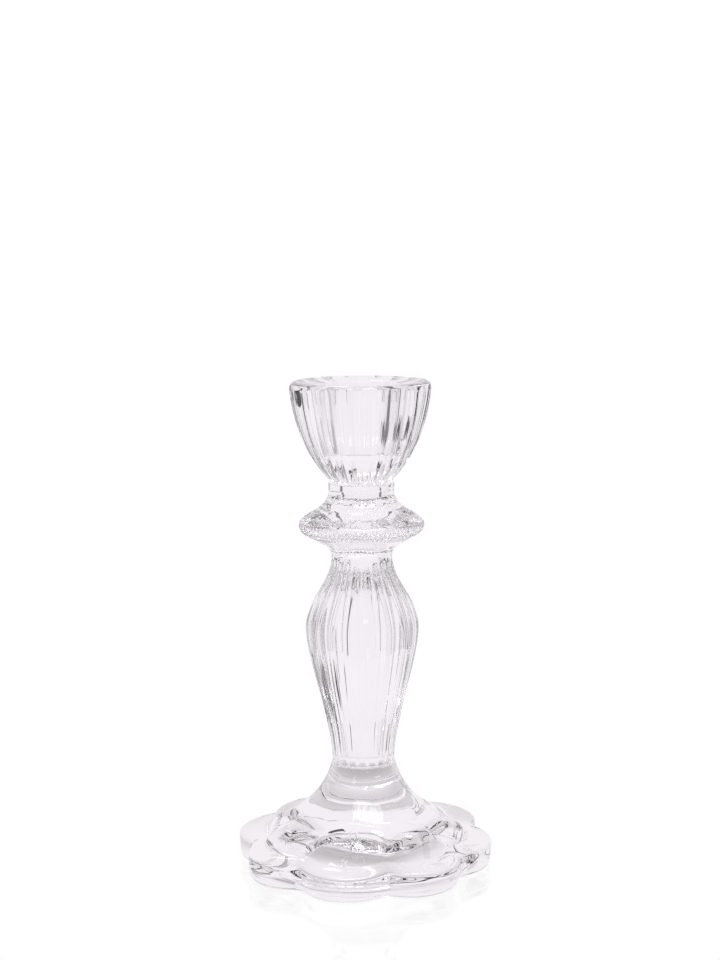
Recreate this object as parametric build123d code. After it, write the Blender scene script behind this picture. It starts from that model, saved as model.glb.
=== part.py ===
from build123d import *
import math
import os

# A pressed-glass candlestick in clear glass. It stands on the plane z = 0 with its axis on Z.
# Six pieces of glass are stacked on that axis and meet on flat faces. The mould has four parts,
# so the middle of a foot lobe and a ridge between two flutes lie on +X, +Y, -X and -Y.
# All sizes are in millimetres.

# Foot
FOOT_RADIUS = 45.4          # to the middle of a lobe, at the widest
LOBE_COUNT = 8
LOBE_DEPTH = 5.0            # how far the valleys between lobes lie inside the lobes
VALLEY_ROUNDING = 0.2       # 0 is a sharp notch between two lobes
WALL_TUCK = 0.4             # how far the wall leans in from its top to its lower edge
LOWER_EDGE = 1.6            # rounding between the wall and the rest ring
WALL_HEIGHT = 7.4           # height where the wall turns into the shoulder
SHOULDER_RISE = 3.2
SHOULDER_RUN = 7.4          # how far the shoulder rolls inwards
SHOULDER_TURN = 80          # degrees from the upright wall to the start of the slope
FOOT_HEIGHT = 29.5          # up to the foot wafer
FOOT_TOP_RADIUS = 13.6
FOOT_FLARE = 0.52           # radius lost for each millimetre of height at the foot's top
RING_WIDTH = 4.9            # of the flat rest ring, where it is narrowest, in the valleys
HOLLOW_DEPTH = 9.0          # of the dome inside the rest ring

# Foot wafer
FOOT_WAFER_HEIGHT = 6.7

# Stem
FLUTE_COUNT = 20
STEM_HEIGHT = 73.8
STEM_FOOT_RADIUS = 11.1     # also the foot wafer's upper face
BELLY_RADIUS = 20.0
BELLY_HEIGHT = 48.6         # above the stem's lower end
STEM_TOP_RADIUS = 10.6      # also the collar's lower face
STEM_FLUTE_DEPTH = 0.85     # at the belly

# Drip collar
COLLAR_HEIGHT = 21.5
COLLAR_RADIUS = 21.9
COLLAR_WIDEST = 10.7        # height of the widest place above the collar's lower face
RIB_COUNT = 80
RIB_DEPTH = 0.5            # of the milled ribs under the widest place

# Neck wafer
NECK_WAFER_HEIGHT = 4.4
NECK_WAFER_RADIUS = 11.5    # also the collar's upper face

# Candle cup
CUP_HEIGHT = 35.0
CUP_FOOT_RADIUS = 10.5
RIM_RADIUS = 24.75
RIM_ROUNDING = 2.3
CUP_FLUTE_DEPTH = 0.55
PLAIN_BAND = 1.0            # between the flutes' upper ends and the cup's top
FLUTE_RUNOUT = 2.4          # height over which a flute runs out
SOCKET_MOUTH_RADIUS = 12.65
SOCKET_FLOOR_RADIUS = 10.45
SOCKET_DEPTH = 23.0
MOUTH_ROUNDING = 1.5
TOP_DISH = 0.5              # how far the top ring falls towards the mouth

# Curves between two places on the outline. Each has a handle at its start and one at its end,
# given as shares of the curve's rise and of its change of radius.
FOOT_SLOPE_START = (0.187, 0.516)
FOOT_SLOPE_END = 0.394      # of the rise; the handle leans by FOOT_FLARE
WAFER_CURVE = (0.34, 0.31)  # of the rise; the lower handle leans by FOOT_FLARE
WAFER_BULGE = 0.2           # share of the wafer's flare left at its upper handle
STEM_LOWER_CURVE = ((0.27, -0.067), (0.23, 0))
STEM_UPPER_CURVE = ((0.357, 0), (0.377, 0))
COLLAR_LOWER_CURVE = ((0.575, 0.088), (0.4, 0))
COLLAR_UPPER_CURVE = ((0.33, 0), (0.549, 0.173))
CUP_CURVE = ((0.272, 0.604), (0.37, 0.084))
LOBE_FADE = 3               # power by which the lobes die away up the slope
LOBE_FULLNESS = 0.7         # 1 makes a lobe a plain arch; less makes it broader and flatter
OUTLINE_POINTS = 8          # for each lobe
STEM_FLUTE_FADE = 1.5       # power of the radius by which the flutes grow deeper
CUP_FLUTE_FADE = 0.5

# Heights of the flat joint faces
FOOT_TOP = FOOT_HEIGHT
STEM_FOOT = FOOT_TOP + FOOT_WAFER_HEIGHT
STEM_TOP = STEM_FOOT + STEM_HEIGHT
COLLAR_TOP = STEM_TOP + COLLAR_HEIGHT
CUP_FOOT = COLLAR_TOP + NECK_WAFER_HEIGHT
CUP_TOP = CUP_FOOT + CUP_HEIGHT

RING_RADIUS = FOOT_RADIUS - WALL_TUCK - LOWER_EDGE      # outside of the rest ring, on a lobe
HOLLOW_RADIUS = RING_RADIUS - LOBE_DEPTH - RING_WIDTH


def shares(count):
    """Evenly spaced shares from 0 to 1."""
    return [step / (count - 1) for step in range(count)]


def curve_points(start, curve, end):
    """The four points (z, radius) of a cubic curve from its ends and its two handles."""
    leaving, arriving = curve
    rise, widening = end[0] - start[0], end[1] - start[1]
    first = (start[0] + leaving[0] * rise, start[1] + leaving[1] * widening)
    second = (end[0] - arriving[0] * rise, end[1] - arriving[1] * widening)
    return start, first, second, end


def on_curve(points, share):
    """The point (z, radius) at a share of a cubic curve."""
    rest = 1 - share
    weights = (rest**3, 3 * share * rest**2, 3 * share**2 * rest, share**3)
    return tuple(sum(w * p[i] for w, p in zip(weights, points)) for i in (0, 1))


def polar(radius, angle, z):
    """The point at a radius and an angle in degrees round the axis, at height z."""
    turn = math.radians(angle)
    return (radius * math.cos(turn), radius * math.sin(turn), z)


def arched_face(z, radius, depth, count):
    """A level face bounded by hollow arcs from ridge to ridge; no depth makes a plain circle."""
    pitch = 360 / count
    arcs = []
    for step in range(count):
        start = polar(radius, step * pitch, z)
        middle = polar(radius - depth, (step + 0.5) * pitch, z)
        end = polar(radius, (step + 1) * pitch, z)
        arcs.append(ThreePointArc(start, middle, end))
    return make_face(Wire(arcs))


def lobed_face(z, radius, depth):
    """A level face with the foot's outline: broad lobes with narrow valleys between them."""
    count = LOBE_COUNT * OUTLINE_POINTS
    lowest = VALLEY_ROUNDING**LOBE_FULLNESS
    highest = math.hypot(1, VALLEY_ROUNDING) ** LOBE_FULLNESS
    points = []
    for step in range(count):
        angle = 360 * step / count
        swing = abs(math.cos(math.radians(angle * LOBE_COUNT / 2)))
        rounded = math.hypot(swing, VALLEY_ROUNDING) ** LOBE_FULLNESS
        bulge = (rounded - lowest) / (highest - lowest)
        points.append(polar(radius - depth * (1 - bulge), angle, z))
    return make_face(Spline(*points, periodic=True))


def turned(*edges):
    """The solid turned from a closed outline of edges in the XZ plane."""
    return revolve(make_face(Wire(edges)), Axis.Z)


def make_foot():
    """The lobed foot, with a domed hollow underneath that leaves a flat ring to stand on."""
    faces = []
    for share in shares(4):
        turn = math.radians(90 * share)
        z = LOWER_EDGE * (1 - math.cos(turn))
        faces.append(lobed_face(z, RING_RADIUS + LOWER_EDGE * math.sin(turn), LOBE_DEPTH))
    for share in (0.5, 1):
        z = LOWER_EDGE + (WALL_HEIGHT - LOWER_EDGE) * share
        faces.append(lobed_face(z, FOOT_RADIUS - WALL_TUCK * (1 - share), LOBE_DEPTH))
    for share in shares(5)[1:]:
        turn = math.radians(SHOULDER_TURN * share)
        z = WALL_HEIGHT + SHOULDER_RISE * math.sin(turn)
        faces.append(lobed_face(z, FOOT_RADIUS - SHOULDER_RUN * (1 - math.cos(turn)), LOBE_DEPTH))
    shoulder = (WALL_HEIGHT + SHOULDER_RISE, FOOT_RADIUS - SHOULDER_RUN)
    steepness = (FOOT_TOP - shoulder[0]) / (shoulder[1] - FOOT_TOP_RADIUS)
    arriving = (FOOT_SLOPE_END, FOOT_SLOPE_END * FOOT_FLARE * steepness)
    slope = curve_points(shoulder, (FOOT_SLOPE_START, arriving), (FOOT_TOP, FOOT_TOP_RADIUS))
    for share in shares(8)[1:]:
        z, radius = on_curve(slope, share)
        faces.append(lobed_face(z, radius, LOBE_DEPTH * (1 - share) ** LOBE_FADE))
    dome = turned(
        Line((0, 0, -1), (HOLLOW_RADIUS, 0, -1)),
        Line((HOLLOW_RADIUS, 0, -1), (HOLLOW_RADIUS, 0, 0)),
        Bezier(
            (HOLLOW_RADIUS, 0, 0),
            (HOLLOW_RADIUS - 2, 0, HOLLOW_DEPTH * 0.8),
            (HOLLOW_RADIUS / 2, 0, HOLLOW_DEPTH),
            (0, 0, HOLLOW_DEPTH),
        ),
        Line((0, 0, HOLLOW_DEPTH), (0, 0, -1)),
    )
    return loft(faces) - dome


def make_foot_wafer():
    """The flared disc of glass between the foot and the stem."""
    low, high = FOOT_TOP, STEM_FOOT
    leaving = FOOT_WAFER_HEIGHT * WAFER_CURVE[0]
    arriving = FOOT_WAFER_HEIGHT * WAFER_CURVE[1]
    bulge = WAFER_BULGE * (FOOT_TOP_RADIUS - STEM_FOOT_RADIUS)
    return turned(
        Line((0, 0, low), (FOOT_TOP_RADIUS, 0, low)),
        Bezier(
            (FOOT_TOP_RADIUS, 0, low),
            (FOOT_TOP_RADIUS - leaving * FOOT_FLARE, 0, low + leaving),
            (STEM_FOOT_RADIUS + bulge, 0, high - arriving),
            (STEM_FOOT_RADIUS, 0, high),
        ),
        Line((STEM_FOOT_RADIUS, 0, high), (0, 0, high)),
        Line((0, 0, high), (0, 0, low)),
    )


def make_stem():
    """The baluster, with a flute between each two ridges from end to end."""
    foot = (STEM_FOOT, STEM_FOOT_RADIUS)
    belly = (STEM_FOOT + BELLY_HEIGHT, BELLY_RADIUS)
    top = (STEM_TOP, STEM_TOP_RADIUS)
    lower = curve_points(foot, STEM_LOWER_CURVE, belly)
    upper = curve_points(belly, STEM_UPPER_CURVE, top)
    outline = [on_curve(lower, share) for share in shares(7)]
    outline += [on_curve(upper, share) for share in shares(7)[1:]]
    faces = []
    for z, radius in outline:
        depth = STEM_FLUTE_DEPTH * (radius / BELLY_RADIUS) ** STEM_FLUTE_FADE
        faces.append(arched_face(z, radius, depth, FLUTE_COUNT))
    return loft(faces)


def make_collar():
    """The drip collar, with milled ribs round the lower half of its edge."""
    bottom = (STEM_TOP, STEM_TOP_RADIUS)
    widest = (STEM_TOP + COLLAR_WIDEST, COLLAR_RADIUS)
    top = (COLLAR_TOP, NECK_WAFER_RADIUS)
    lower = curve_points(bottom, COLLAR_LOWER_CURVE, widest)
    upper = curve_points(widest, COLLAR_UPPER_CURVE, top)
    faces = []
    for share in shares(9):
        z, radius = on_curve(lower, share)
        depth = RIB_DEPTH * max(0, -math.sin(2 * math.pi * share))
        faces.append(arched_face(z, radius, depth, RIB_COUNT))
    for share in shares(8)[1:]:
        z, radius = on_curve(upper, share)
        faces.append(arched_face(z, radius, 0, RIB_COUNT))
    return loft(faces)


def make_neck_wafer():
    """The plain disc between the collar and the cup."""
    disc = Cylinder(NECK_WAFER_RADIUS, NECK_WAFER_HEIGHT)
    return Pos(0, 0, COLLAR_TOP + NECK_WAFER_HEIGHT / 2) * disc


def cup_flute_depth(z, radius):
    """How deep the cup's flutes are at a height; they run out in an arch under the plain top."""
    fade = min(1, max(0, (CUP_TOP - PLAIN_BAND - z) / FLUTE_RUNOUT))
    deepest = CUP_FLUTE_DEPTH * (radius / RIM_RADIUS) ** CUP_FLUTE_FADE
    return deepest * math.sqrt(1 - (1 - fade) ** 2)


def make_cup():
    """The fluted cup with its thick rim and the tapered socket for the candle."""
    foot = (CUP_FOOT, CUP_FOOT_RADIUS)
    rim = (CUP_TOP - RIM_ROUNDING, RIM_RADIUS)
    side = curve_points(foot, CUP_CURVE, rim)
    faces = []
    for share in shares(13):
        z, radius = on_curve(side, share)
        faces.append(arched_face(z, radius, cup_flute_depth(z, radius), FLUTE_COUNT))
    for share in shares(4)[1:]:
        turn = math.radians(90 * share)
        z = rim[0] + RIM_ROUNDING * math.sin(turn)
        radius = RIM_RADIUS - RIM_ROUNDING * (1 - math.cos(turn))
        faces.append(arched_face(z, radius, cup_flute_depth(z, radius), FLUTE_COUNT))
    floor = CUP_TOP - SOCKET_DEPTH
    mouth = CUP_TOP - TOP_DISH - MOUTH_ROUNDING
    crest = RIM_RADIUS - RIM_ROUNDING
    socket = turned(
        Line((0, 0, floor), (SOCKET_FLOOR_RADIUS, 0, floor)),
        Line((SOCKET_FLOOR_RADIUS, 0, floor), (SOCKET_MOUTH_RADIUS, 0, mouth)),
        Bezier(
            (SOCKET_MOUTH_RADIUS, 0, mouth),
            (SOCKET_MOUTH_RADIUS, 0, mouth + MOUTH_ROUNDING * 0.8),
            (SOCKET_MOUTH_RADIUS + MOUTH_ROUNDING, 0, CUP_TOP - TOP_DISH),
            (crest, 0, CUP_TOP),
        ),
        Line((crest, 0, CUP_TOP), (crest, 0, CUP_TOP + 1)),
        Line((crest, 0, CUP_TOP + 1), (0, 0, CUP_TOP + 1)),
        Line((0, 0, CUP_TOP + 1), (0, 0, floor)),
    )
    return loft(faces) - socket


os.makedirs("parts", exist_ok=True)
pieces = {
    "scalloped_foot": make_foot(),
    "foot_wafer": make_foot_wafer(),
    "fluted_stem": make_stem(),
    "drip_collar": make_collar(),
    "neck_wafer": make_neck_wafer(),
    "candle_cup": make_cup(),
}
for name, piece in pieces.items():
    export_step(piece, f"parts/{name}.step")
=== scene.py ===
# %% [markdown]
# # A pressed-glass candlestick
# Molten glass is pressed in a four-part mould with a plunger. The candlestick has six pieces of clear glass:
# a lobed foot, a wafer, a fluted baluster stem, a drip collar, a second wafer and a fluted candle cup.
# All of them are turned shapes whose radius follows a rule round the axis, so one Geometry Nodes tree makes
# them all from an outline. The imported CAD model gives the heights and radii.

# %% Load the frame
import math

import bpy
from mathutils import Matrix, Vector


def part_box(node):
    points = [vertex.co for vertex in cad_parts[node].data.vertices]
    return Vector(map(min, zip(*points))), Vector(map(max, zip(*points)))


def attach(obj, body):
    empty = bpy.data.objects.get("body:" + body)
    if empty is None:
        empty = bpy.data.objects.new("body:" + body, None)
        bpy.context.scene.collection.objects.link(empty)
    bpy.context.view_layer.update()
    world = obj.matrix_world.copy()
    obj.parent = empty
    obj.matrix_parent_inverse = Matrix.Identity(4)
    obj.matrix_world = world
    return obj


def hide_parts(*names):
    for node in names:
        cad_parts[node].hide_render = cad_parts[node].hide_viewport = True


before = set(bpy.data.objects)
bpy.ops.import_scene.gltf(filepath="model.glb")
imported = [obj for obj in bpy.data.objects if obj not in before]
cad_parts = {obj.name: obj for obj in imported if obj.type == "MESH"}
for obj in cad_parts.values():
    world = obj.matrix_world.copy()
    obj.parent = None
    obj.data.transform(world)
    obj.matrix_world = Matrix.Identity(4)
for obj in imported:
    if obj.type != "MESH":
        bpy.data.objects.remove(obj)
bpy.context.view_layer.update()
MM = 0.001
print("CAD nodes:", sorted(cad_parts))


# %% [markdown]
# ## Levels and radii
# The pieces were fused while hot, on level faces. The levels of those faces and the widest radius of each
# piece come from the frame. A radius is read along +X, where a lobe and a ridge between two flutes lie.

# %% Levels and radii
def low(node):
    """Height of a node's lower face, in metres."""
    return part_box(node)[0].z


def high(node):
    """Height of a node's upper face, in metres."""
    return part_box(node)[1].z


def reach(node):
    """Largest radius of a node, in metres."""
    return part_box(node)[1].x


FOOT_TOP = high("scalloped_foot")
STEM_FOOT = low("fluted_stem")
STEM_TOP = high("fluted_stem")
COLLAR_TOP = high("drip_collar")
CUP_FOOT = low("candle_cup")
CUP_TOP = high("candle_cup")
FOOT_RADIUS = reach("scalloped_foot")
FOOT_TOP_RADIUS = reach("foot_wafer")
BELLY_RADIUS = reach("fluted_stem")
COLLAR_RADIUS = reach("drip_collar")
NECK_RADIUS = reach("neck_wafer")
RIM_RADIUS = reach("candle_cup")
STEM_FOOT_RADIUS = 11.1 * MM
STEM_TOP_RADIUS = 10.6 * MM
CUP_FOOT_RADIUS = 10.5 * MM
LEVELS = (FOOT_TOP, STEM_FOOT, STEM_TOP, COLLAR_TOP, CUP_FOOT, CUP_TOP)
print("levels in mm:", [round(level / MM, 1) for level in LEVELS])


# %% [markdown]
# ## Outlines
# A turned shape needs only half of its section: a line from the axis, out and up, and back to the axis.
# Each point of that line keeps its radius, its height, how deep the flutes or lobes are there, whether it is
# on a fused joint face, and how much the hot glass may wander. Curves are cubic. Their handles are given as
# shares of the rise and of the change of radius, so a curve keeps its character when a piece changes size.

# %% Outline helpers
class Outline:
    """Points from the axis out, up and back, as (radius, height, depth, joint, freedom)."""

    def __init__(self):
        self.points = []

    def add(self, radius, height, depth=0.0, joint=0.0, freedom=1.0):
        self.points.append((radius, height, depth, joint, freedom))

    def disc(self, start, end, height, steps, joint=0.0):
        """A level stretch; a joint face keeps still, so that its neighbour still meets it."""
        for step in range(steps):
            share = step / (steps - 1)
            self.add(start + (end - start) * share, height, joint=joint, freedom=0.0)


def shares(count):
    """Evenly spaced shares from 0 to 1."""
    return [step / (count - 1) for step in range(count)]


def cubic(start, curve, end, share):
    """A point (height, radius) of a cubic curve with two handles."""
    leaving, arriving = curve
    spans = [end[0] - start[0], end[1] - start[1]]
    point = []
    for i in (0, 1):
        first = start[i] + leaving[i] * spans[i]
        second = end[i] - arriving[i] * spans[i]
        rest = 1 - share
        mixed = rest**3 * start[i] + 3 * share * rest**2 * first + 3 * share**2 * rest * second
        point.append(mixed + share**3 * end[i])
    return point


FREEDOM_GAIN = 8.0  # a side has its full freedom from an eighth of its length


def calm(share):
    """No freedom at either end of a side and full freedom in the middle."""
    return min(1.0, FREEDOM_GAIN * share, FREEDOM_GAIN * (1 - share))


# %% [markdown]
# ## The turning tree
# The real shape comes from a mould that was itself turned and then cut with flutes. The tree works the same
# way: it lays a grid round the axis, takes each row's radius and height from the outline, and cuts the radius
# by a rule that repeats round the axis. A softened sine gives narrow ridges with hollow flutes between them;
# with a negative depth it gives broad lobes with narrow valleys. A small noise moves the surface
# as hot glass does when it leaves the mould. The seam and the poles are merged, so the solid is closed.

# %% Node helpers
def new_tree():
    tree = bpy.data.node_groups.new("Turned pressed glass", "GeometryNodeTree")
    tree.interface.new_socket("Outline", in_out="INPUT", socket_type="NodeSocketGeometry")
    for name, kind, value in (
        ("Repeats", "NodeSocketInt", 20),
        ("Columns in a repeat", "NodeSocketInt", 16),
        ("Phase", "NodeSocketFloat", 0.0),
        ("Softness", "NodeSocketFloat", 0.2),
        ("Fullness", "NodeSocketFloat", 1.0),
        ("Wander", "NodeSocketFloat", 0.0),
        ("Wander size", "NodeSocketFloat", 0.01),
        ("Seed", "NodeSocketFloat", 1.0),
    ):
        tree.interface.new_socket(name, in_out="INPUT", socket_type=kind).default_value = value
    for name in ("Glass", "Fused face"):
        tree.interface.new_socket(name, in_out="INPUT", socket_type="NodeSocketMaterial")
    tree.interface.new_socket("Piece", in_out="OUTPUT", socket_type="NodeSocketGeometry")
    return tree


class Builder:
    """Adds nodes to a tree and joins them."""

    def __init__(self, tree):
        self.tree = tree

    def node(self, kind, settings=None, inputs=None):
        made = self.tree.nodes.new(kind)
        for name, value in (settings or {}).items():
            setattr(made, name, value)
        for name, value in (inputs or {}).items():
            if isinstance(value, bpy.types.NodeSocket):
                self.tree.links.new(value, made.inputs[name])
            else:
                made.inputs[name].default_value = value
        return made

    def math(self, operation, first, second=0.0):
        return self.node("ShaderNodeMath", {"operation": operation}, {0: first, 1: second}).outputs[0]

    def dot(self, first, second):
        made = self.node("ShaderNodeVectorMath", {"operation": "DOT_PRODUCT"}, {0: first, 1: second})
        return made.outputs["Value"]

    def mix(self, share, first, second):
        return self.node("ShaderNodeMixShader", {}, {0: share, 1: first, 2: second}).outputs[0]

    def light(self, kind, color, strength=1.0):
        """A background or a surface that gives light of its own."""
        return self.node(kind, {}, {"Color": color, "Strength": strength}).outputs[0]

    def attribute(self, name, kind="FLOAT"):
        made = self.node("GeometryNodeInputNamedAttribute", {"data_type": kind}, {"Name": name})
        return made.outputs["Attribute"]


# %% The turning tree
SHARP_EDGE = math.radians(40)
WELD = 1e-6
ON_JOINT = 0.99


def turning_tree():
    tree = new_tree()
    b = Builder(tree)
    given = b.node("NodeGroupInput").outputs
    outline = given["Outline"]
    size = b.node("GeometryNodeAttributeDomainSize", {"component": "MESH"}, {"Geometry": outline})
    rows = size.outputs["Point Count"]
    columns = b.math("MULTIPLY", given["Repeats"], given["Columns in a repeat"])
    grid = b.node("GeometryNodeMeshGrid", {}, {"Vertices X": b.math("ADD", columns, 1.0), "Vertices Y": rows})
    index = b.node("GeometryNodeInputIndex").outputs[0]
    row = b.math("FLOORED_MODULO", index, rows)
    column = b.math("FLOOR", b.math("DIVIDE", b.math("ADD", index, 0.5), rows))

    def sampled(value, kind="FLOAT"):
        settings = {"data_type": kind, "domain": "POINT"}
        inputs = {"Geometry": outline, "Value": value, "Index": row}
        return b.node("GeometryNodeSampleIndex", settings, inputs).outputs[0]

    position = b.node("GeometryNodeInputPosition").outputs[0]
    place = b.node("ShaderNodeSeparateXYZ", {}, {0: sampled(position, "FLOAT_VECTOR")})
    depth = sampled(b.attribute("depth"))
    joint = sampled(b.attribute("joint"))
    freedom = sampled(b.attribute("freedom"))
    leaning = sampled(b.attribute("lean", "FLOAT_VECTOR"), "FLOAT_VECTOR")
    lean = b.node("ShaderNodeSeparateXYZ", {}, {0: leaning})

    angle = b.math("MULTIPLY", b.math("DIVIDE", column, columns), 2 * math.pi)
    half_turns = b.math("MULTIPLY", angle, b.math("MULTIPLY", given["Repeats"], 0.5))
    swing = b.math("SINE", b.math("ADD", half_turns, given["Phase"]))
    soft = b.math("MULTIPLY", given["Softness"], given["Softness"])
    power = b.math("MULTIPLY", given["Fullness"], 0.5)
    lowest = b.math("POWER", soft, power)
    highest = b.math("POWER", b.math("ADD", soft, 1.0), power)
    rounded = b.math("POWER", b.math("ADD", b.math("MULTIPLY", swing, swing), soft), power)
    cut = b.math("DIVIDE", b.math("SUBTRACT", rounded, lowest), b.math("SUBTRACT", highest, lowest))
    radius = b.math("SUBTRACT", place.outputs["X"], b.math("MULTIPLY", depth, cut))

    cosine, sine = b.math("COSINE", angle), b.math("SINE", angle)

    def turned(out, up):
        inputs = {"X": b.math("MULTIPLY", out, cosine), "Y": b.math("MULTIPLY", out, sine), "Z": up}
        return b.node("ShaderNodeCombineXYZ", {}, inputs).outputs[0]

    still = turned(radius, place.outputs["Z"])
    scale = b.math("DIVIDE", 1.0, given["Wander size"])
    noise_inputs = {"Vector": still, "W": given["Seed"], "Scale": scale, "Detail": 1.0, "Roughness": 0.4}
    noise = b.node("ShaderNodeTexNoise", {"noise_dimensions": "4D"}, noise_inputs).outputs[0]
    stray = b.math("MULTIPLY", b.math("SUBTRACT", noise, 0.5), b.math("MULTIPLY", given["Wander"], freedom))
    push = turned(b.math("MULTIPLY", stray, lean.outputs["X"]), b.math("MULTIPLY", stray, lean.outputs["Z"]))
    moved = b.node("ShaderNodeVectorMath", {"operation": "ADD"}, {0: still, 1: push}).outputs[0]

    mesh = b.node("GeometryNodeStoreNamedAttribute", {"data_type": "FLOAT", "domain": "POINT"},
                  {"Geometry": grid.outputs["Mesh"], "Name": "joint", "Value": joint}).outputs[0]
    mesh = b.node("GeometryNodeSetPosition", {}, {"Geometry": mesh, "Position": moved}).outputs[0]
    mesh = b.node("GeometryNodeMergeByDistance", {}, {"Geometry": mesh, "Distance": WELD}).outputs[0]
    mesh = b.node("GeometryNodeSetShadeSmooth", {"domain": "FACE"},
                  {"Geometry": mesh, "Shade Smooth": True}).outputs[0]
    bend = b.node("GeometryNodeInputMeshEdgeAngle").outputs["Unsigned Angle"]
    sharp = b.math("GREATER_THAN", bend, SHARP_EDGE)
    mesh = b.node("GeometryNodeSetShadeSmooth", {"domain": "EDGE"},
                  {"Geometry": mesh, "Selection": sharp, "Shade Smooth": False}).outputs[0]
    mesh = b.node("GeometryNodeRealizeInstances", {}, {"Geometry": mesh}).outputs[0]
    mesh = b.node("GeometryNodeSetMaterial", {}, {"Geometry": mesh, "Material": given["Glass"]}).outputs[0]
    fused = b.math("GREATER_THAN", b.attribute("joint"), ON_JOINT)
    mesh = b.node("GeometryNodeSetMaterial", {},
                  {"Geometry": mesh, "Selection": fused, "Material": given["Fused face"]}).outputs[0]
    tree.links.new(mesh, b.node("NodeGroupOutput").inputs["Piece"])
    print("turning tree:", len(tree.nodes), "nodes")
    return tree


TURNING = turning_tree()


# %% [markdown]
# ## Clear pressed glass
# The glass is soda-lime with an index of about 1.52. It was fire-polished, so it is glossy, but it kept
# slight ripples from the plunger, a faint upright line at each quarter where the mould parts met, and here
# and there a film from handling. The bump and roughness come from the piece's own coordinates, so they stay
# with the glass in every view. The fused faces let light straight through, because there is no air there.

# %% Glass materials
GLASS_TINT = (0.985, 0.98, 0.99, 1.0)
GLASS_IOR = 1.52
RIPPLE_SCALE = 160.0        # noise features in a metre, for each kind of unevenness
PEEL_SCALE = 900.0
FILM_SCALE = 70.0
PEEL_SHARE = 0.02           # height of the fine peel beside that of the ripples
SEAM_SHARE = 6.0            # and that of the mould lines
SEAM_HALF = 0.35 * MM
RELIEF = 0.1 * MM
RELIEF_STRENGTH = 0.12
FILM_ROUGHNESS = 0.03
FILM_SPAN = {"From Min": 0.45, "From Max": 0.75, "To Min": 0.0, "To Max": FILM_ROUGHNESS}
CLEAR = (1.0, 1.0, 1.0, 1.0)


def new_material(name):
    """An empty material and a builder for its nodes."""
    material = bpy.data.materials.new(name)
    material.use_nodes = True
    material.node_tree.nodes.clear()
    return material, Builder(material.node_tree)


def coordinates(b, scale=(1, 1, 1)):
    place = b.node("ShaderNodeTexCoord").outputs["Object"]
    return b.node("ShaderNodeMapping", {}, {"Vector": place, "Scale": scale}).outputs[0]


def seam_line(b):
    """1 on the four upright mould lines, falling to 0 within a fraction of a millimetre."""
    place = b.node("ShaderNodeSeparateXYZ", {}, {0: coordinates(b)})
    near = b.math("MINIMUM", b.math("ABSOLUTE", place.outputs["X"]), b.math("ABSOLUTE", place.outputs["Y"]))
    inside = b.math("SUBTRACT", 1.0, b.math("DIVIDE", near, SEAM_HALF))
    return b.math("MAXIMUM", inside, 0.0)


def noise(b, scale, detail, stretch=(1, 1, 1)):
    """A noise in the piece's own coordinates."""
    inputs = {"Vector": coordinates(b, stretch), "Scale": scale, "Detail": detail}
    return b.node("ShaderNodeTexNoise", {}, inputs).outputs[0]


def pressed_glass(name):
    material, b = new_material(name)
    film = noise(b, FILM_SCALE, 4.0)
    gloss = b.node("ShaderNodeMapRange", {}, {"Value": film, **FILM_SPAN}).outputs[0]
    relief = b.math("MULTIPLY", noise(b, PEEL_SCALE, 1.0), PEEL_SHARE)
    relief = b.math("ADD", relief, noise(b, RIPPLE_SCALE, 2.0, (1, 1, 0.5)))
    relief = b.math("ADD", relief, b.math("MULTIPLY", seam_line(b), SEAM_SHARE))
    bump_inputs = {"Strength": RELIEF_STRENGTH, "Distance": RELIEF, "Height": relief}
    shader = b.node("ShaderNodeBsdfPrincipled", {}, {
        "Base Color": GLASS_TINT,
        "Transmission Weight": 1.0,
        "IOR": GLASS_IOR,
        "Roughness": gloss,
        "Normal": b.node("ShaderNodeBump", {}, bump_inputs).outputs[0],
    })
    b.node("ShaderNodeOutputMaterial", {}, {"Surface": shader.outputs[0]})
    return material


def fused_glass():
    material, b = new_material("fused_face")
    clear = b.node("ShaderNodeBsdfTransparent", {}, {"Color": CLEAR})
    b.node("ShaderNodeOutputMaterial", {}, {"Surface": clear.outputs[0]})
    return material


CLEAR_GLASS = pressed_glass("clear_pressed_glass")
FUSED_FACE = fused_glass()
print("materials:", [material.name for material in bpy.data.materials])


# %% [markdown]
# ## From outline to piece
# An outline becomes a line of vertices that carries its numbers as attributes. The tree turns it, the result
# is kept as a plain mesh, and the piece takes the place of its CAD node.

# %% Turning a piece
def lean_of(points, i):
    """The outward direction square to the outline at point i, as (radius, height)."""
    before = points[max(0, i - 1)]
    after = points[min(len(points) - 1, i + 1)]
    run, rise = after[0] - before[0], after[1] - before[1]
    length = math.hypot(run, rise) or 1.0
    return rise / length, -run / length


def outline_mesh(name, points):
    mesh = bpy.data.meshes.new(name + "_outline")
    edges = [(i, i + 1) for i in range(len(points) - 1)]
    mesh.from_pydata([(radius, 0, height) for radius, height, *_ in points], edges, [])
    for place, label in ((2, "depth"), (3, "joint"), (4, "freedom")):
        mesh.attributes.new(label, "FLOAT", "POINT").data.foreach_set("value", [p[place] for p in points])
    leans = []
    for i in range(len(points)):
        out, up = lean_of(points, i)
        leans += [out, 0.0, up]
    mesh.attributes.new("lean", "FLOAT_VECTOR", "POINT").data.foreach_set("vector", leans)
    return mesh


def set_input(modifier, name, value):
    """Sets a modifier's input by the identifier of its socket."""
    for item in modifier.node_group.interface.items_tree:
        if item.item_type == "SOCKET" and item.in_out == "INPUT" and item.name == name:
            modifier[item.identifier] = value


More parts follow.
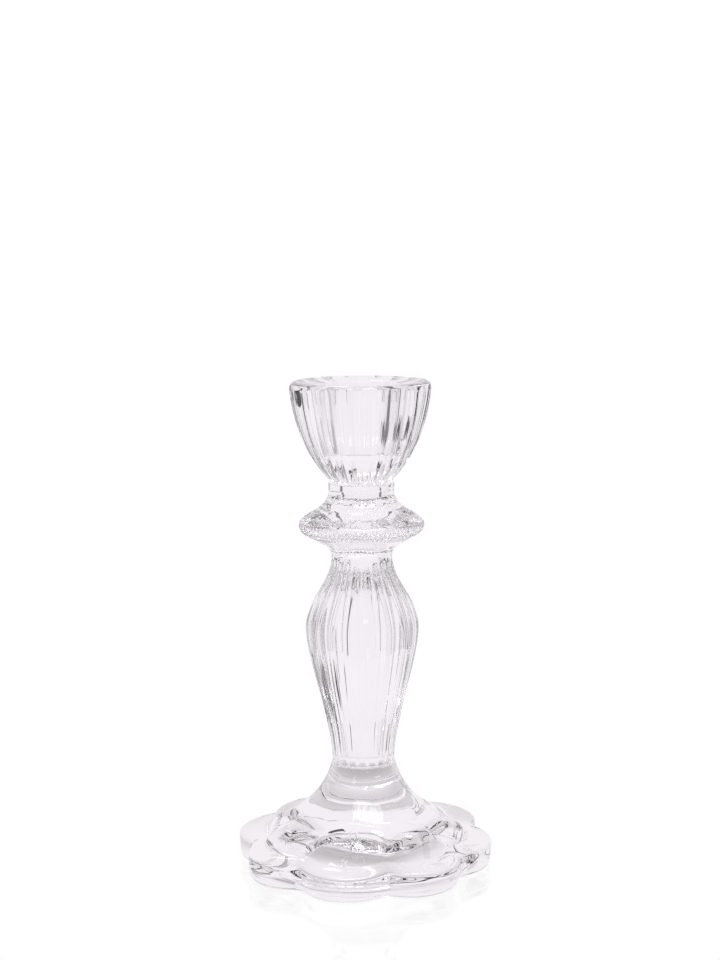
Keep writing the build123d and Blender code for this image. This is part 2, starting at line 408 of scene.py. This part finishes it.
def turn_piece(node, outline, **sizes):
    """Makes a finished piece from its outline; it stands for the CAD node of the same name."""
    maker = bpy.data.objects.new(node + "_maker", outline_mesh(node, outline.points))
    bpy.context.scene.collection.objects.link(maker)
    modifier = maker.modifiers.new("Turn", "NODES")
    modifier.node_group = TURNING
    inputs = {"Glass": CLEAR_GLASS, "Fused face": FUSED_FACE}
    inputs.update({label.replace("_", " ").capitalize(): value for label, value in sizes.items()})
    for label, value in inputs.items():
        set_input(modifier, label, value)
    ready = maker.evaluated_get(bpy.context.evaluated_depsgraph_get())
    mesh = bpy.data.meshes.new_from_object(ready)
    bpy.data.objects.remove(maker)
    piece = bpy.data.objects.new("glass_" + node, mesh)
    bpy.context.scene.collection.objects.link(piece)
    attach(piece, "root")
    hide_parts(node)
    triangles = sum(len(face.vertices) - 2 for face in mesh.polygons)
    print(node, "rows", len(outline.points), "triangles", triangles)


# %% [markdown]
# ## The foot
# The foot is a shallow bell with eight broad lobes. Its thick rim stands on a flat ring, and the plunger left
# a dome of air inside the ring. Through the front, the dome bends the painted shadow on the sheet under the
# foot into grey crescents.

# %% Foot outline
LOBES = 8
LOBE_DEPTH = 5.0 * MM
WALL_TUCK = 0.4 * MM
LOWER_EDGE = 1.6 * MM
WALL_HEIGHT = 7.4 * MM
SHOULDER_RISE = 3.2 * MM
SHOULDER_RUN = 7.4 * MM
SHOULDER_TURN = math.radians(80)
FOOT_FLARE = 0.52
RING_WIDTH = 4.9 * MM
LOBE_FADE = 3
HOLLOW_DEPTH = 9.0 * MM
DOME_POWERS = (1.15, 0.9)    # how the dome leaves its ring and reaches its top
FOOT_SLOPE_START = (0.187, 0.516)
FOOT_SLOPE_END = 0.394
EDGE_FREEDOM = 0.4


def lobed(outline, radius, height, depth, freedom=1.0):
    """A point on the lobed outside; radius is that of a lobe's middle."""
    outline.add(radius - depth, height, -depth, 0.0, freedom)


def foot_outline():
    outline = Outline()
    ring = FOOT_RADIUS - WALL_TUCK - LOWER_EDGE
    hollow = ring - LOBE_DEPTH - RING_WIDTH
    for share in shares(40):
        turn = share * math.pi / 2
        round_off = math.sin(turn) ** DOME_POWERS[0]
        outline.add(hollow * round_off, HOLLOW_DEPTH * math.cos(turn) ** DOME_POWERS[1], freedom=calm(share))
    for share in shares(6)[1:]:
        lobed(outline, hollow + (ring - hollow) * share, 0.0, LOBE_DEPTH * share, 0.0)
    for share in shares(9)[1:]:
        turn = share * math.pi / 2
        lobed(outline, ring + LOWER_EDGE * math.sin(turn), LOWER_EDGE * (1 - math.cos(turn)), LOBE_DEPTH,
              EDGE_FREEDOM)
    for share in shares(12)[1:]:
        height = LOWER_EDGE + (WALL_HEIGHT - LOWER_EDGE) * share
        lobed(outline, FOOT_RADIUS - WALL_TUCK * (1 - share), height, LOBE_DEPTH)
    for share in shares(18)[1:]:
        turn = SHOULDER_TURN * share
        radius = FOOT_RADIUS - SHOULDER_RUN * (1 - math.cos(turn))
        lobed(outline, radius, WALL_HEIGHT + SHOULDER_RISE * math.sin(turn), LOBE_DEPTH)
    shoulder = (WALL_HEIGHT + SHOULDER_RISE * math.sin(SHOULDER_TURN), radius)
    steepness = (FOOT_TOP - shoulder[0]) / (shoulder[1] - FOOT_TOP_RADIUS)
    curve = (FOOT_SLOPE_START, (FOOT_SLOPE_END, FOOT_SLOPE_END * FOOT_FLARE * steepness))
    for share in shares(46)[1:]:
        height, radius = cubic(shoulder, curve, (FOOT_TOP, FOOT_TOP_RADIUS), share)
        depth = LOBE_DEPTH * (1 - share) ** LOBE_FADE
        lobed(outline, radius, height, depth, min(1.0, FREEDOM_GAIN * (1 - share)))
    outline.disc(FOOT_TOP_RADIUS, 0.0, FOOT_TOP, 6, joint=1.0)
    return outline


turn_piece("scalloped_foot", foot_outline(), repeats=LOBES, columns_in_a_repeat=44, phase=math.pi / 2,
           softness=0.2, fullness=0.7, wander=0.8 * MM, wander_size=15 * MM, seed=3.0)


# %% [markdown]
# ## The foot wafer
# A short disc of glass joins the foot to the stem. It flares down into the foot and
# shows as a stack of grey bands, because the light from the foot is squeezed there and the painted
# shadow on the sheet behind the foot shows through it.

# %% Foot wafer
WAFER_CURVE = (0.34, 0.31)
WAFER_BULGE = 0.2


def foot_wafer_outline():
    outline = Outline()
    outline.disc(0.0, FOOT_TOP_RADIUS, FOOT_TOP, 6, joint=1.0)
    tall = STEM_FOOT - FOOT_TOP
    narrowing = FOOT_TOP_RADIUS - STEM_FOOT_RADIUS
    leaving = (WAFER_CURVE[0], WAFER_CURVE[0] * tall * FOOT_FLARE / narrowing)
    arriving = (WAFER_CURVE[1], WAFER_BULGE)
    lower, upper = (FOOT_TOP, FOOT_TOP_RADIUS), (STEM_FOOT, STEM_FOOT_RADIUS)
    for share in shares(20)[1:]:
        height, radius = cubic(lower, (leaving, arriving), upper, share)
        outline.add(radius, height, freedom=calm(share))
    outline.disc(STEM_FOOT_RADIUS, 0.0, STEM_FOOT, 6, joint=1.0)
    return outline


turn_piece("foot_wafer", foot_wafer_outline(), repeats=20, columns_in_a_repeat=8,
           wander=0.25 * MM, wander_size=8 * MM, seed=5.0)


# %% [markdown]
# ## The stem
# The baluster is solid glass with twenty flutes that run its whole length. Its belly works as a strong lens,
# so only the ridges near the middle of the back show through.

# %% Stem
FLUTES = 20
STEM_FLUTE_DEPTH = 0.85 * MM
STEM_FLUTE_FADE = 1.5       # power of the radius by which the flutes grow deeper
STEM_FLUTE_ENDS = 30.0      # the flutes run out over a thirtieth of the stem at each end
STEM_LOWER_CURVE = ((0.27, -0.067), (0.23, 0.0))
STEM_UPPER_CURVE = ((0.357, 0.0), (0.377, 0.0))
BELLY_SHARE = 48.6 / 73.8


def stem_outline():
    outline = Outline()
    belly = (STEM_FOOT + BELLY_SHARE * (STEM_TOP - STEM_FOOT), BELLY_RADIUS)
    stretches = (
        ((STEM_FOOT, STEM_FOOT_RADIUS), STEM_LOWER_CURVE, belly),
        (belly, STEM_UPPER_CURVE, (STEM_TOP, STEM_TOP_RADIUS)),
    )
    outline.disc(0.0, STEM_FOOT_RADIUS, STEM_FOOT, 6, joint=1.0)
    for start, curve, end in stretches:
        for share in shares(56)[1:]:
            height, radius = cubic(start, curve, end, share)
            whole = (height - STEM_FOOT) / (STEM_TOP - STEM_FOOT)
            runout = min(1.0, STEM_FLUTE_ENDS * whole, STEM_FLUTE_ENDS * (1 - whole))
            depth = STEM_FLUTE_DEPTH * (radius / BELLY_RADIUS) ** STEM_FLUTE_FADE * runout
            outline.add(radius, height, depth, 0.0, calm(whole))
    outline.disc(STEM_TOP_RADIUS, 0.0, STEM_TOP, 6, joint=1.0)
    return outline


turn_piece("fluted_stem", stem_outline(), repeats=FLUTES, columns_in_a_repeat=24, softness=0.05,
           fullness=1.0, wander=0.35 * MM, wander_size=16 * MM, seed=7.0)


# %% [markdown]
# ## The drip collar
# The collar catches wax. A wheel of fine ribs is milled under its edge, and its upper side is plain.

# %% Drip collar
RIBS = 80
RIB_DEPTH = 0.7 * MM
RIB_START = 0.55            # share of the lower side where the ribs begin
RIB_GAIN = 5                # they are full a fifth of it later
RIB_RUNOUT = 7              # and gone a seventh of the way up the upper side
COLLAR_WIDEST = 10.7 / 21.5
COLLAR_LOWER_CURVE = ((0.575, 0.088), (0.4, 0.0))
COLLAR_UPPER_CURVE = ((0.33, 0.0), (0.549, 0.173))


def collar_outline():
    outline = Outline()
    widest = (STEM_TOP + COLLAR_WIDEST * (COLLAR_TOP - STEM_TOP), COLLAR_RADIUS)
    outline.disc(0.0, STEM_TOP_RADIUS, STEM_TOP, 6, joint=1.0)
    for share in shares(34)[1:]:
        height, radius = cubic((STEM_TOP, STEM_TOP_RADIUS), COLLAR_LOWER_CURVE, widest, share)
        depth = RIB_DEPTH * min(1.0, max(0.0, RIB_GAIN * (share - RIB_START)))
        outline.add(radius, height, depth, 0.0, min(1.0, FREEDOM_GAIN * share))
    for share in shares(30)[1:]:
        height, radius = cubic(widest, COLLAR_UPPER_CURVE, (COLLAR_TOP, NECK_RADIUS), share)
        depth = RIB_DEPTH * max(0.0, 1.0 - RIB_RUNOUT * share)
        outline.add(radius, height, depth, 0.0, min(1.0, FREEDOM_GAIN * (1 - share)))
    outline.disc(NECK_RADIUS, 0.0, COLLAR_TOP, 6, joint=1.0)
    return outline


turn_piece("drip_collar", collar_outline(), repeats=RIBS, columns_in_a_repeat=8, softness=0.3,
           wander=0.6 * MM, wander_size=5 * MM, seed=11.0)


# %% [markdown]
# ## The neck wafer
# The disc between the collar and the cup is a little wider than the cup's foot, so a narrow ledge shows.

# %% Neck wafer
NECK_ROUNDING = 0.5 * MM


def neck_outline():
    outline = Outline()
    outline.disc(0.0, NECK_RADIUS, COLLAR_TOP, 6, joint=1.0)
    for share in shares(10)[1:]:
        height = COLLAR_TOP + (CUP_FOOT - NECK_ROUNDING - COLLAR_TOP) * share
        outline.add(NECK_RADIUS, height, freedom=calm(share))
    for share in shares(6)[1:]:
        turn = share * math.pi / 2
        radius = NECK_RADIUS - NECK_ROUNDING * (1 - math.cos(turn))
        outline.add(radius, CUP_FOOT - NECK_ROUNDING + NECK_ROUNDING * math.sin(turn), freedom=0.0)
    outline.disc(NECK_RADIUS - NECK_ROUNDING, CUP_FOOT_RADIUS, CUP_FOOT, 3)
    outline.disc(CUP_FOOT_RADIUS, 0.0, CUP_FOOT, 6, joint=1.0)
    return outline


turn_piece("neck_wafer", neck_outline(), repeats=20, columns_in_a_repeat=8,
           wander=0.25 * MM, wander_size=8 * MM, seed=13.0)


# %% [markdown]
# ## The candle cup
# Twenty flutes climb the outside of the cup and run out in small arches under a plain rim. The
# plunger pressed the tapered socket, with a rounded mouth and a small radius where its wall meets its floor.

# %% Candle cup
CUP_FLUTE_DEPTH = 0.55 * MM
CUP_FLUTE_FADE = 0.5
CUP_FLUTE_START = 20.0      # the flutes start over a twentieth of the cup's side
RIM_ROUNDING = 2.3 * MM
PLAIN_BAND = 1.0 * MM
FLUTE_RUNOUT = 2.4 * MM
SOCKET_MOUTH = 12.65 * MM
SOCKET_FLOOR = 10.45 * MM
SOCKET_DEPTH = 23.0 * MM
SOCKET_CORNER = 0.8 * MM
MOUTH_ROUNDING = 1.5 * MM
MOUTH_HANDLE = 0.8
SOCKET_FREEDOM = 0.5
TOP_DISH = 0.5 * MM
CUP_CURVE = ((0.272, 0.604), (0.37, 0.084))


def flute_depth(height, radius):
    """Depth of a cup flute; it runs out in an arch under the plain top."""
    fade = min(1.0, max(0.0, (CUP_TOP - PLAIN_BAND - height) / FLUTE_RUNOUT))
    return CUP_FLUTE_DEPTH * (radius / RIM_RADIUS) ** CUP_FLUTE_FADE * math.sqrt(1 - (1 - fade) ** 2)


def cup_outline():
    outline = Outline()
    outline.disc(0.0, CUP_FOOT_RADIUS, CUP_FOOT, 6, joint=1.0)
    rim = (CUP_TOP - RIM_ROUNDING, RIM_RADIUS)
    for share in shares(76)[1:]:
        height, radius = cubic((CUP_FOOT, CUP_FOOT_RADIUS), CUP_CURVE, rim, share)
        depth = flute_depth(height, radius) * min(1.0, CUP_FLUTE_START * share)
        outline.add(radius, height, depth, 0.0, min(1.0, FREEDOM_GAIN * share))
    for share in shares(14)[1:]:
        turn = share * math.pi / 2
        radius = RIM_RADIUS - RIM_ROUNDING * (1 - math.cos(turn))
        height = CUP_TOP - RIM_ROUNDING * (1 - math.sin(turn))
        outline.add(radius, height, flute_depth(height, radius))
    crest = (CUP_TOP, RIM_RADIUS - RIM_ROUNDING)
    mouth = (CUP_TOP - TOP_DISH - MOUTH_ROUNDING, SOCKET_MOUTH)
    tall, wide = crest[0] - mouth[0], crest[1] - mouth[1]
    leaving = (TOP_DISH / tall, (wide - MOUTH_ROUNDING) / wide)
    arriving = (MOUTH_HANDLE * MOUTH_ROUNDING / tall, 0.0)
    for share in shares(22)[1:]:
        height, radius = cubic(crest, (leaving, arriving), mouth, share)
        outline.add(radius, height, freedom=SOCKET_FREEDOM)
    floor = CUP_TOP - SOCKET_DEPTH
    for share in shares(26)[1:]:
        height = mouth[0] + (floor + SOCKET_CORNER - mouth[0]) * share
        outline.add(SOCKET_MOUTH + (SOCKET_FLOOR - SOCKET_MOUTH) * share, height, freedom=SOCKET_FREEDOM)
    for share in shares(6)[1:]:
        turn = share * math.pi / 2
        radius = SOCKET_FLOOR - SOCKET_CORNER * (1 - math.cos(turn))
        outline.add(radius, floor + SOCKET_CORNER * (1 - math.sin(turn)), freedom=SOCKET_FREEDOM)
    outline.disc(SOCKET_FLOOR - SOCKET_CORNER, 0.0, floor, 7)
    return outline


turn_piece("candle_cup", cup_outline(), repeats=FLUTES, columns_in_a_repeat=20, softness=0.07,
           wander=0.3 * MM, wander_size=12 * MM, seed=17.0)


# %% [markdown]
# ## Studio
# Clear glass has no colour of its own, so its look is the look of the room. The candlestick stands on a
# glossy white sheet in front of a bright backdrop. The room has a lilac tinge and is darker at the sides,
# two black cards stand where they draw dark lines in the cup, and softboxes hang above. The camera sees the
# sheet and the backdrop as plain white; only the glass sees the greys. To the glass the sheet glows, with a
# painted shadow under and behind the foot. The table beyond the sheet glows too, with painted shade: it is
# dark at one side and has two painted dark strips, which show in the glass as thin dark lines.

# %% The room's directions
VIEW_TURN = math.radians(11.2)
TOWARDS_CAMERA = (math.sin(VIEW_TURN), -math.cos(VIEW_TURN), 0.0)
TOWARDS_BACKDROP = (-TOWARDS_CAMERA[0], -TOWARDS_CAMERA[1], 0.0)
TO_THE_RIGHT = (math.cos(VIEW_TURN), math.sin(VIEW_TURN), 0.0)


def direction(turn, rise):
    """A direction from its degrees to the right of the backdrop's middle and above the table."""
    turn, rise = math.radians(turn), math.radians(rise)
    level = [b * math.cos(turn) + r * math.sin(turn) for b, r in zip(TOWARDS_BACKDROP, TO_THE_RIGHT)]
    return (level[0] * math.cos(rise), level[1] * math.cos(rise), math.sin(rise))


# %% Room
# Brightness round the room, by degrees to the right of the backdrop's middle.
ROOM = (
    (-180, 0.85), (-150, 0.88), (-104, 0.60), (-80, 0.45), (-66, 0.50), (-58, 0.92), (-30, 0.93), (30, 0.93),
    (62, 0.92), (73, 0.18), (92, 0.18), (104, 0.50), (140, 0.85), (180, 0.85),
)
# Black cards that draw dark lines in the glass: degrees to the right from and to, rise from and to.
CARDS = ((28, 62, 0.03, 0.16), (14, 38, 0.62, 0.72))
# Softboxes: degrees to the right, degrees up, half width in degrees, added brightness.
SOFTBOXES = (
    (205, 60, 8, 3.0), (182, 63, 9, 3.0), (160, 63, 9, 3.0), (138, 60, 8, 3.0), (-12, 46, 4, 4.0),
    (-150, 25, 5, 2.0),
)
CEILING = (0.92, 0.89, 0.92, 1.0)
CEILING_RISE = {"From Min": 0.45, "From Max": 0.75}
CARD_BLACK = (0.03, 0.03, 0.035, 1.0)
CARD_EDGE = 0.03            # softness of a card's upright edges, in radians
CARD_EDGE_RISE = 0.02       # and of its level edges
SOFTBOX_EDGE = (1.15, 0.9)  # where a softbox starts to shine and where it is full
WHITE = (1.0, 1.0, 1.0, 1.0)
LILAC = 0.965               # green beside red and blue in the room's greys
BACKDROP_LEVEL = 1.05


def band(b, value, start, end, low, high):
    """A smooth change from low to high as value goes from start to end."""
    settings = {"interpolation_type": "SMOOTHSTEP"}
    span = {"From Min": start, "From Max": end, "To Min": low, "To Max": high}
    return b.node("ShaderNodeMapRange", settings, {"Value": value, **span}).outputs[0]


def turn_of(b, way):
    """Angle of a direction to the right of the backdrop's middle, in radians."""
    return b.math("ARCTAN2", b.dot(way, TO_THE_RIGHT), b.dot(way, TOWARDS_BACKDROP))


def room_ramp(b, way, levels):
    """A grey read round the horizon from a list of (degrees, brightness)."""
    share = b.math("ADD", b.math("MULTIPLY", turn_of(b, way), 0.5 / math.pi), 0.5)
    ramp = b.node("ShaderNodeValToRGB", {}, {"Fac": share})
    stops = ramp.color_ramp.elements
    for degrees, value in levels[1:-1]:
        stops.new(degrees / 360 + 0.5).color = (value, value * LILAC, value, 1.0)
    for stop, (_, value) in ((stops[0], levels[0]), (stops[-1], levels[-1])):
        stop.color = (value, value * LILAC, value, 1.0)
    return ramp.outputs[0]


def on_card(b, turn, rise, card):
    """1 on a black card and 0 beside it, with soft edges."""
    left, right = math.radians(card[0]), math.radians(card[1])
    across = b.math("MULTIPLY", band(b, turn, left, left + CARD_EDGE, 0.0, 1.0),
                    band(b, turn, right - CARD_EDGE, right, 1.0, 0.0))
    up = b.math("MULTIPLY", band(b, rise, card[2], card[2] + CARD_EDGE_RISE, 0.0, 1.0),
                band(b, rise, card[3] - CARD_EDGE_RISE, card[3], 1.0, 0.0))
    return b.math("MULTIPLY", across, up)


def studio_world():
    world = bpy.data.worlds.new("studio")
    bpy.context.scene.world = world
    world.use_nodes = True
    world.node_tree.nodes.clear()
    b = Builder(world.node_tree)
    way = b.node("ShaderNodeTexCoord").outputs["Generated"]
    rise = b.node("ShaderNodeSeparateXYZ", {}, {0: way}).outputs["Z"]
    walls = b.light("ShaderNodeBackground", room_ramp(b, way, ROOM))
    lift = b.node("ShaderNodeMapRange", {}, {"Value": rise, **CEILING_RISE}).outputs[0]
    room = b.mix(lift, walls, b.light("ShaderNodeBackground", CEILING))
    black = b.light("ShaderNodeBackground", CARD_BLACK)
    for card in CARDS:
        room = b.mix(on_card(b, turn_of(b, way), rise, card), room, black)
    for turn, up, half, strength in SOFTBOXES:
        outer, inner = (math.cos(math.radians(half * size)) for size in SOFTBOX_EDGE)
        span = {"Value": b.dot(way, direction(turn, up)), "From Min": outer, "From Max": inner}
        inside = b.node("ShaderNodeMapRange", {}, span).outputs[0]
        shine = b.light("ShaderNodeBackground", WHITE, b.math("MULTIPLY", inside, strength))
        room = b.node("ShaderNodeAddShader", {}, {0: room, 1: shine}).outputs[0]
    seen = b.node("ShaderNodeLightPath").outputs["Is Camera Ray"]
    both = b.mix(seen, room, b.light("ShaderNodeBackground", WHITE, BACKDROP_LEVEL))
    b.node("ShaderNodeOutputWorld", {}, {"Surface": both})


studio_world()


# %% Floor
# Brightness of the table beyond the sheet, with painted shade, by degrees to the right of the backdrop's
# middle;
# 0.10 is a painted dark strip.
PAINTED_TABLE_SHADE = (
    (-180, 1.00), (-120, 0.92), (-96, 0.60), (-76, 0.60), (-62, 0.92), (-30, 0.92), (-28, 0.10), (-26, 0.10),
    (-24, 0.91), (24, 0.91), (26, 0.10), (28, 0.10), (30, 0.92), (62, 0.92), (73, 0.18), (112, 0.18),
    (124, 0.92), (180, 1.00),
)
FLOOR_HALF = 3.0
SHEET_LEVEL = 1.02          # what the camera sees
SHEET_GLOSS = 0.14
SHEET_ROUGHNESS = 0.03
SHEET_TINT = (1.0, LILAC, 1.0, 1.0)
# Painted shadow: to the glass, the sheet glows darker under the foot and behind it.
PAINTED_SHADOW_UNDER_FOOT = (0.010, 0.034, 0.50, 0.90)     # from and to in metres from the axis, brightness from and to
PAINTED_SHADOW_BEHIND = (0.005, 0.030, 0.0, 0.24)     # the soft shadow behind the foot takes this much away
PAINTED_SHADOW_END = (0.042, 0.060, 1.0, 0.0)
TABLE_START = (0.08, 0.20, 0.0, 1.0)


def white_floor():
    corners = [(x * FLOOR_HALF, y * FLOOR_HALF, 0) for x, y in ((-1, -1), (1, -1), (1, 1), (-1, 1))]
    mesh = bpy.data.meshes.new("white_floor")
    mesh.from_pydata(corners, [], [(0, 1, 2, 3)])
    floor = bpy.data.objects.new("white_floor", mesh)
    bpy.context.scene.collection.objects.link(floor)
    material, b = new_material("glossy_white_sheet_with_painted_shade")
    place = coordinates(b)
    radius = b.node("ShaderNodeVectorMath", {"operation": "LENGTH"}, {0: place}).outputs["Value"]
    behind = b.dot(place, TOWARDS_BACKDROP)
    # painted shadow: the sheet's glow is dimmed under the foot and behind it
    shadow = b.math("MULTIPLY", band(b, behind, *PAINTED_SHADOW_BEHIND), band(b, radius, *PAINTED_SHADOW_END))
    shade = b.math("SUBTRACT", band(b, radius, *PAINTED_SHADOW_UNDER_FOOT), shadow)
    near = b.light("ShaderNodeEmission", SHEET_TINT, shade)
    # painted shade: the table beyond glows darker at the sides and behind, with two painted dark strips
    far = b.light("ShaderNodeEmission", room_ramp(b, place, PAINTED_TABLE_SHADE))
    lower = b.mix(band(b, radius, *TABLE_START), near, far)
    gloss = b.node("ShaderNodeBsdfGlossy", {}, {"Color": WHITE, "Roughness": SHEET_ROUGHNESS})
    upper = b.mix(SHEET_GLOSS, b.light("ShaderNodeEmission", WHITE, SHEET_LEVEL), gloss.outputs[0])
    seen = b.node("ShaderNodeLightPath").outputs["Is Camera Ray"]
    b.node("ShaderNodeOutputMaterial", {}, {"Surface": b.mix(seen, lower, upper)})
    mesh.materials.append(material)


white_floor()


# %% Camera
CAMERA_DISTANCE = 0.585
CAMERA_HEIGHT = 0.218
CAMERA_TILT = math.radians(7.95)
CAMERA_ROLL = math.radians(-0.5)
CAMERA_AIM = math.radians(0.04)
SENSOR_HEIGHT = 36.0
FOCAL_LENGTH = 63.75
CLIP_START = 0.01


def studio_camera():
    lens = bpy.data.cameras.new("view")
    lens.sensor_fit = "VERTICAL"
    lens.sensor_height = SENSOR_HEIGHT
    lens.lens = FOCAL_LENGTH
    lens.clip_start = CLIP_START
    camera = bpy.data.objects.new("view", lens)
    bpy.context.scene.collection.objects.link(camera)
    camera.location = [CAMERA_DISTANCE * part for part in TOWARDS_CAMERA]
    camera.location.z = CAMERA_HEIGHT
    camera.rotation_mode = "XYZ"
    turn = Matrix.Rotation(VIEW_TURN + CAMERA_AIM, 4, "Z")
    turn = turn @ Matrix.Rotation(math.pi / 2 - CAMERA_TILT, 4, "X") @ Matrix.Rotation(CAMERA_ROLL, 4, "Z")
    camera.rotation_euler = turn.to_euler()
    bpy.context.scene.camera = camera
    return camera


camera = studio_camera()
scene = bpy.context.scene
scene.view_settings.view_transform = "Standard"
BOUNCES = 24                # thick clear glass needs many
scene.cycles.max_bounces = BOUNCES
scene.cycles.transmission_bounces = BOUNCES
scene.cycles.transparent_max_bounces = BOUNCES
print("camera at", [round(part, 3) for part in camera.location])

# %% End
print("scene built")
